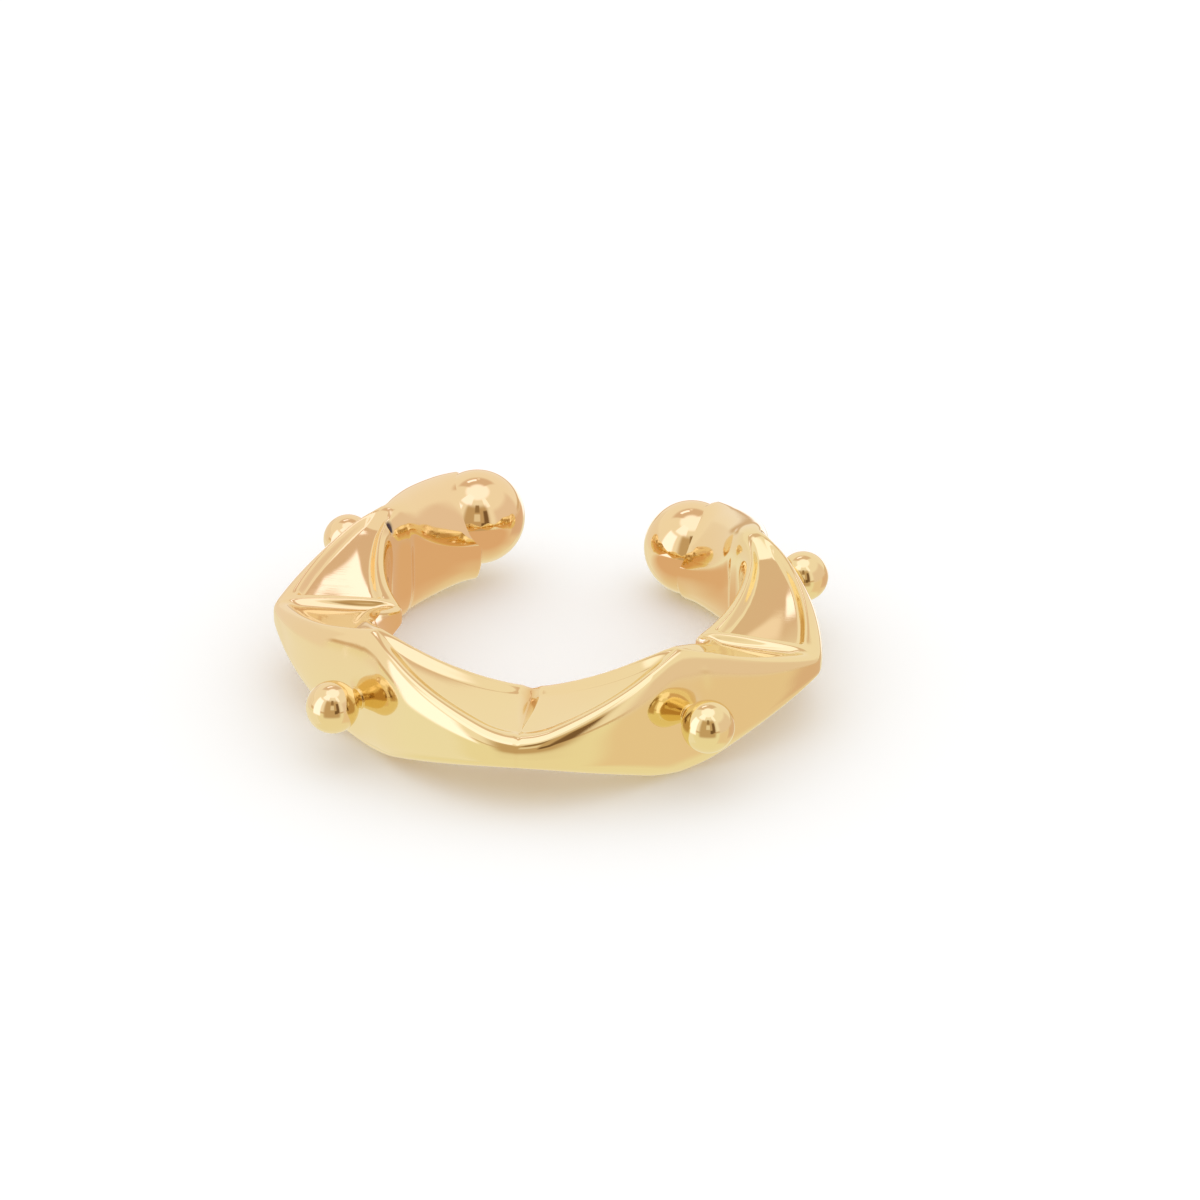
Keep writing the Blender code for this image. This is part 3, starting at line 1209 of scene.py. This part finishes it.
@dataclass(frozen=True)
class Card:
    """A glowing soft-edged card that the gold mirrors.

    Places and sizes are in degrees. Azimuth 0 is in front of the cuff, and it grows to the right.
    """

    name: str
    azimuth: float
    elevation: float
    half_width: float
    half_height: float
    softness: float
    colour: tuple[float, float, float]
    steps: int = 40

    def spread(self, half: float, limit: float) -> list[tuple[float, float]]:
        """Offsets from the card's middle, each with how opaque the card is there.

        Args:
            half: half the card's size, in degrees.
            limit: half the size at which the card goes all the way round and has no edge.

        Returns:
            The offset and the opacity of each line of points.
        """
        if half >= limit:
            return [(limit * (2 * k / self.steps - 1), 1.0) for k in range(self.steps + 1)]
        whole = half + self.softness / 2
        rows = []
        for k in range(self.steps + 1):
            offset = whole * (2 * k / self.steps - 1)
            share = min(1.0, (whole - abs(offset)) / self.softness)
            rows.append((offset, share * share * (3 - 2 * share)))
        return rows

    def build(self, reach: float, material: bpy.types.Material) -> bpy.types.Object:
        """Bend the card round the cuff.

        Args:
            reach: its distance from the cuff, in metres.
            material: its glow.

        Returns:
            The card's object.
        """
        columns = self.spread(self.half_width, 180)
        rows = self.spread(self.half_height, 90)
        points, fades = [], []
        for off_azimuth, side_fade in columns:
            for off_elevation, end_fade in rows:
                azimuth = math.radians(self.azimuth + off_azimuth)
                elevation = math.radians(max(-90, min(90, self.elevation + off_elevation)))
                points.append((math.sin(azimuth) * math.cos(elevation) * reach,
                               -math.cos(azimuth) * math.cos(elevation) * reach, math.sin(elevation) * reach))
                fades.append(side_fade * end_fade)
        count = len(rows)
        starts = [column * count + row for column in range(len(columns) - 1) for row in range(count - 1)]
        faces = [(a, a + 1, a + count + 1, a + count) for a in starts]
        return glowing(f"card_{self.name}", points, faces, fades, self.colour, material)


@dataclass(frozen=True)
class HollowShade:
    """The shaded floor in the ring's hollow, as the gold mirrors it."""

    radius: float = 0.0064
    softness: float = 0.0016
    level: float = 0.00002
    colour: tuple[float, float, float] = (0.77, 0.51, 0.35)
    around: int = 64

    def build(self, material: bpy.types.Material) -> bpy.types.Object:
        """Lay the disc on the floor.

        Args:
            material: the glow that it shares with the cards.

        Returns:
            The disc's object.
        """
        around = self.around
        points, fades = [(0.0, 0.0, self.level)], [1.0]
        for reach, fade in ((self.radius - self.softness, 1.0), (self.radius, 0.0)):
            for k in range(around):
                turn = 2 * math.pi * k / around
                points.append((math.cos(turn) * reach, math.sin(turn) * reach, self.level))
                fades.append(fade)
        faces = []
        for k in range(around):
            a, b = 1 + k, 1 + (k + 1) % around
            faces += [(0, a, b), (a, a + around, b + around, b)]
        return glowing("hollow_shade", points, faces, fades, self.colour, material)


# From the outermost card to the innermost one: each hides what lies behind it
CARDS = [
    Card("table", 0, -62, 180, 58, 6, (0.89, 0.83, 0.66)),
    Card("table_left", -95, -32, 40, 20, 12, (0.92, 0.88, 0.80)),
    Card("table_right", 98, -28, 42, 22, 12, (0.85, 0.69, 0.54)),
    Card("horizon", 0, -2, 180, 3, 5, (0.67, 0.48, 0.33)),
    Card("overhead", 0, 84, 180, 18, 8, (1.20, 1.15, 1.31)),
    Card("left_wall", -120, 1, 27, 16, 8, (0.90, 0.80, 0.74)),
    Card("right_wall", 92, 12, 36, 20, 14, (0.84, 0.69, 0.64)),
    Card("rear_top", 194, 58, 44, 12, 10, (0.75, 0.56, 0.47)),
    Card("rear_patch", -155, 55, 13, 3, 2, (1.36, 1.31, 1.63)),
    Card("rear_glint", -173, 51, 3, 3, 3, (0.98, 0.83, 0.80)),
    Card("left_box", -60, 14, 17, 30, 6, (1.34, 1.28, 1.59)),
    Card("left_box_top", -38, 62, 24, 12, 6, (1.25, 1.20, 1.42)),
    Card("right_box", 44, 56, 10, 12, 5, (1.20, 1.15, 1.28)),
    Card("rear_strip", 180, -12, 26, 8, 5, (1.30, 1.22, 1.38)),
    Card("right_shade", 128, -20, 26, 14, 10, (0.75, 0.53, 0.42)),
    Card("front_shade", 6, 14, 34, 36, 14, (0.58, 0.41, 0.25)),
    Card("front_core", 8, 22, 8, 9, 4, (0.83, 0.72, 0.60)),
    Card("front_edge", 32, 18, 6, 20, 5, (0.21, 0.12, 0.06)),
    Card("front_peak", 8, 44, 7, 9, 5, (0.33, 0.21, 0.11)),
    Card("front_foot", 24, 2, 6, 7, 4, (0.19, 0.11, 0.05)),
]


@dataclass
class Studio:
    """Pale floor, soft light and the camera. origin_pixel is where the photograph shows the ring's middle."""

    elevation: float = math.radians(27.129)
    azimuth: float = math.radians(8.291)
    roll: float = math.radians(0.224)
    distance: float = 0.12489
    lens: float = 137.19
    sensor: float = 36.0
    frame_pixels: int = 1200
    origin_pixel: tuple[float, float] = (549.96, 681.22)
    walls: tuple[float, float, float, float] = (0.95, 0.87, 0.82, 1.0)
    daylight: tuple[float, float, float, float] = (1.16, 1.16, 1.16, 1.0)
    cards_reach: float = 0.30
    cards_gap: float = 0.005
    floor_radius: float = 1.2
    floor_corners: int = 96
    floor_colour: tuple[float, float, float, float] = (0.91, 0.91, 0.905, 1.0)
    floor_roughness: float = 0.8

    def build_camera(self) -> bpy.types.Object:
        """Set up the camera at the photograph's angle, so that the cuff sits where it does there.

        Returns:
            The camera.
        """
        e, a = self.elevation, self.azimuth
        back = Vector((math.sin(a) * math.cos(e), -math.cos(a) * math.cos(e), math.sin(e)))
        right = Vector((math.cos(a), math.sin(a), 0))
        facing = Matrix((right, back.cross(right), back)).transposed().to_4x4()
        focal = self.lens / self.sensor * self.frame_pixels
        pan = math.atan((self.origin_pixel[0] - self.frame_pixels / 2) / focal)
        tilt = math.atan((self.origin_pixel[1] - self.frame_pixels / 2) / focal)
        data = bpy.data.cameras.new("camera")
        data.lens, data.sensor_width = self.lens, self.sensor
        data.clip_start = self.distance / 20
        aim = Matrix.Rotation(pan, 4, "Y") @ Matrix.Rotation(tilt, 4, "X")
        stand = Matrix.Translation(back * self.distance) @ facing @ Matrix.Rotation(self.roll, 4, "Z")
        camera = bpy.data.objects.new("camera", data)
        camera.matrix_world = stand @ aim
        bpy.context.scene.collection.objects.link(camera)
        bpy.context.scene.camera = camera
        return camera

    def build_floor(self) -> bpy.types.Object:
        """Lay the pale floor, which the gold doesn't mirror.

        Returns:
            The floor.
        """
        bm = bmesh.new()
        bmesh.ops.create_circle(bm, cap_ends=True, segments=self.floor_corners, radius=self.floor_radius)
        mesh = bpy.data.meshes.new("floor")
        bm.to_mesh(mesh)
        bm.free()
        material = bpy.data.materials.new("pale_floor")
        material.use_nodes = True
        shader = material.node_tree.nodes["Principled BSDF"]
        shader.inputs["Base Color"].default_value = self.floor_colour
        shader.inputs["Roughness"].default_value = self.floor_roughness
        mesh.materials.append(material)
        floor = shown("floor", mesh)
        floor.visible_glossy = False
        return floor

    @staticmethod
    def card_glow() -> bpy.types.Material:
        """The glow of every card, which reads the card's own colour and fades to clear at its edges.

        Returns:
            The material.
        """
        material = bpy.data.materials.new("card_glow")
        material.use_nodes = True
        material.node_tree.nodes.clear()
        graph = Graph(material.node_tree)
        glow = graph.call("ShaderNodeEmission", {
            "Color": graph.node("ShaderNodeAttribute", attribute_name="glow").outputs["Vector"]})
        clear = graph.node("ShaderNodeBsdfTransparent")
        mixed = graph.node("ShaderNodeMixShader")
        graph.feed(mixed.inputs[0], graph.node("ShaderNodeAttribute", attribute_name="fade").outputs["Fac"])
        graph.feed(mixed.inputs[1], clear.outputs[0])
        graph.feed(mixed.inputs[2], glow.outputs[0])
        graph.feed(graph.node("ShaderNodeOutputMaterial").inputs["Surface"], mixed.outputs[0])
        material.cycles.emission_sampling = "NONE"
        return material

    def build_surroundings(self) -> None:
        """Even daylight on the floor, and pale walls with cards before them for the gold to mirror."""
        world = bpy.data.worlds.new("soft_light")
        world.use_nodes = True
        graph = Graph(world.node_tree)
        mirrored = graph.node("ShaderNodeLightPath").outputs["Is Glossy Ray"]
        colour = graph.colour_mix(self.daylight, self.walls, mirrored)
        graph.feed(world.node_tree.nodes["Background"].inputs["Color"], colour)
        world.cycles.sampling_method = "NONE"
        bpy.context.scene.world = world
        glow = self.card_glow()
        for order, card in enumerate(CARDS):
            card.build(self.cards_reach - self.cards_gap * order, glow)
        HollowShade().build(glow)

    def build(self) -> None:
        """Set up floor, light and camera."""
        self.build_camera()
        self.build_floor()
        self.build_surroundings()
        bpy.context.scene.view_settings.view_transform = "Standard"


def corners(objects: Iterable[bpy.types.Object]) -> tuple[Vector, Vector]:
    """Corners of the box round some objects' meshes, the lowest and the highest."""
    points = np.concatenate([np.array([v.co for v in obj.data.vertices]) for obj in objects])
    return Vector(points.min(axis=0)), Vector(points.max(axis=0))


def put_in_place(pieces: list[bpy.types.Object]) -> None:
    """Move the pieces' meshes from the ring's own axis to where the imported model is.

    Args:
        pieces: the objects of the whole cuff.
    """
    low, high = corners(pieces)
    cad_low, cad_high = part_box(CAD_NODE)
    middle, cad_middle = (low + high) / 2, (cad_low + cad_high) / 2
    shift = Matrix.Translation((cad_middle.x - middle.x, cad_middle.y - middle.y, cad_low.z - low.z))
    for piece in pieces:
        piece.data.transform(shift)


def main() -> None:
    """Build the dressed cuff and its studio."""
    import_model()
    tone, marks = ToneDrift().group(), PolishMarks().group()
    cast_gold = PolishedGold("cast_gold", sheen=0.045, line_depth=0.35).build(tone, marks)
    turned_gold = PolishedGold("turned_gold", sheen=0.030, line_depth=0.20).build(tone, marks)
    band = Band()
    pieces = [band.build(cast_gold), BeadStuds().build(band, turned_gold)]
    pieces += [EndBall(side).build(band, turned_gold) for side in Side]
    put_in_place(pieces)
    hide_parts(CAD_NODE)
    for piece in pieces:
        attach(piece, BODY)
        log.info("%s: %d faces", piece.name, len(piece.data.polygons))
    Studio().build()


if __name__ == "__main__":
    logging.basicConfig(level=logging.INFO, format="%(name)s: %(message)s")
    main()
